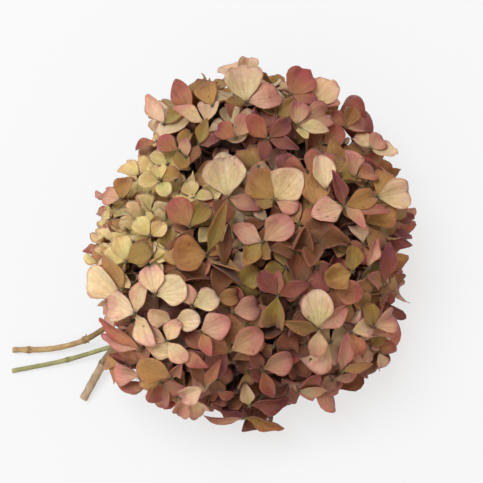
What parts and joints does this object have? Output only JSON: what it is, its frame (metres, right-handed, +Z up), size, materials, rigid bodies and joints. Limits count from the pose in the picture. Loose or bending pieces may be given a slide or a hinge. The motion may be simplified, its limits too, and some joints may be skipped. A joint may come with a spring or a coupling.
{
  "type": "dried hydrangea bunch",
  "caption": "Bunch of dried mophead hydrangea blooms on woody stems, lying loose on a flat surface, for arranging in a vase or as room decoration",
  "frame": {"origin": "under the middle of the bunch's bounding box, on the surface that it lies on", "axes": "+X from the cut stem ends towards the blooms, +Z up off the surface that the bunch lies on, +Y across, towards the back bloom"},
  "size_m": [0.2382, 0.2078, 0.1215],
  "materials": {
    "sepals_pink": "dry matte papery sepals, dusty pink with yellow-green patches",
    "sepals_rose": "dry matte papery sepals, cream at the heart fading to dusty rose",
    "sepals_cream": "dry matte papery sepals, cream-tan with rose edges",
    "stem_olive": "matte olive-tan woody stem with leaf scars",
    "stem_green": "matte grey-green woody stem",
    "stem_brown": "matte brown woody stem with leaf scars"
  },
  "bodies": {
    "root": {"bloom_left": "sepals_pink", "bloom_right": "sepals_rose", "bloom_top": "sepals_cream", "stem_left": "stem_olive", "stem_right": "stem_green", "stem_top": "stem_brown"}
  },
  "joints": []
}
